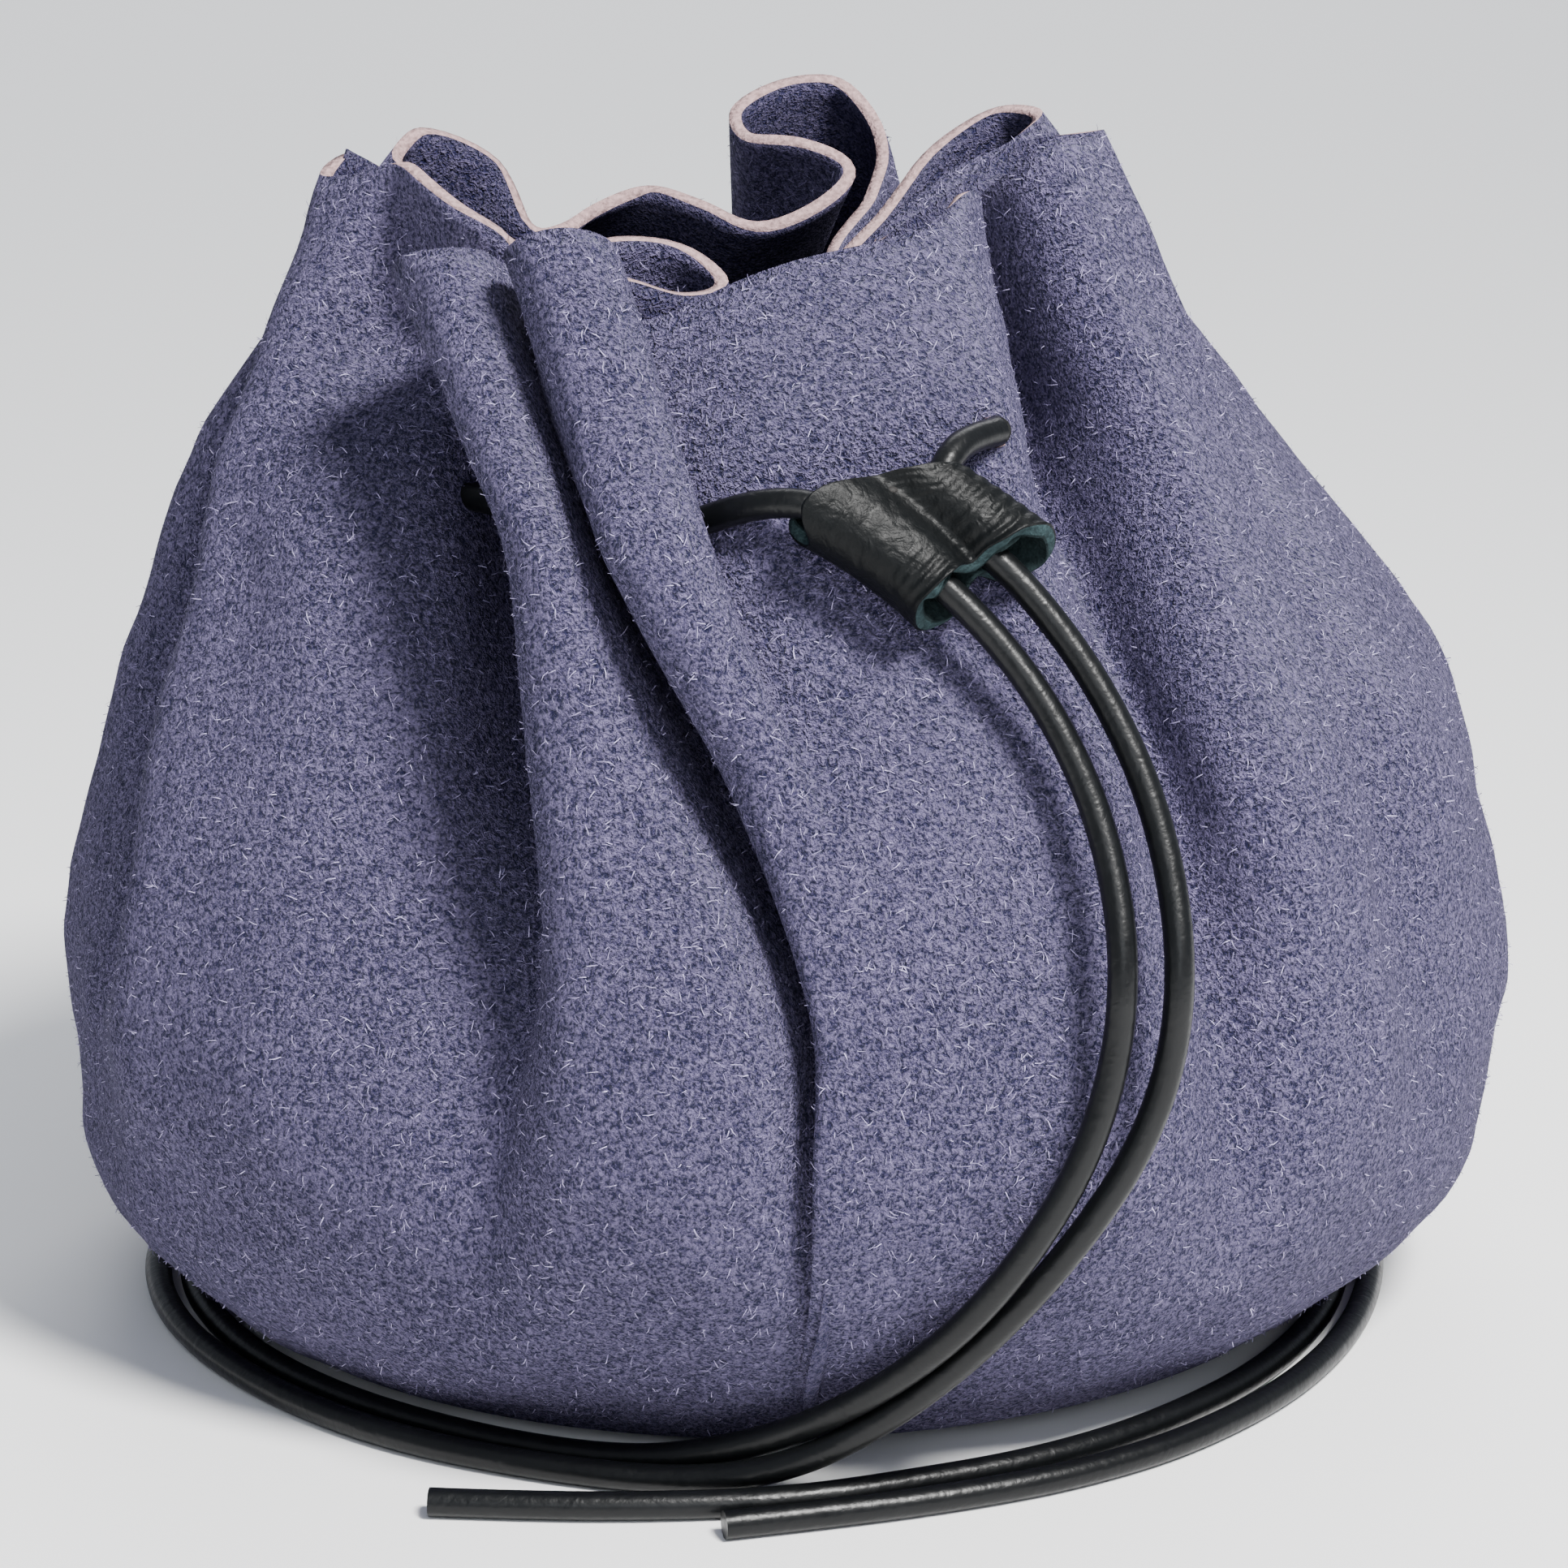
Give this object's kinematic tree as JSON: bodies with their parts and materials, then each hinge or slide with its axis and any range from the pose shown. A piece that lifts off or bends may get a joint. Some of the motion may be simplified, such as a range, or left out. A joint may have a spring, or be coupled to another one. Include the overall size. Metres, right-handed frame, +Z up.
{
  "type": "drawstring dice bag",
  "caption": "Soft suede drawstring pouch gathered at the neck by a round leather cord with a sliding leather cord lock, for holding dice.",
  "frame": {"origin": "middle of the bag's base, on the surface that it stands on", "axes": "+Z up through the mouth, -Y towards the front where the cord tails come out"},
  "size_m": [0.136, 0.1362, 0.108],
  "materials": {
    "suede": "napped periwinkle split suede, matt",
    "cord_leather": "smooth black round leather cord, satin",
    "slide_leather": "wrinkled black grain leather, semi-gloss",
    "thread": "waxed black thread"
  },
  "bodies": {
    "bag": {"suede_body": "suede", "drawcord_neck": "cord_leather", "drawcord_tail_left": "cord_leather", "drawcord_tail_right": "cord_leather"},
    "slide": {"cord_slide": "slide_leather", "slide_stitch": "thread"}
  },
  "joints": [
    {"name": "slide_travel", "type": "hinge", "parent": "bag", "child": "slide", "pos_m": [-0.0129, -0.073, 0.0537], "axis": [-0.1938, 0.8672, -0.4587], "range_deg": [0, 36]}
  ]
}
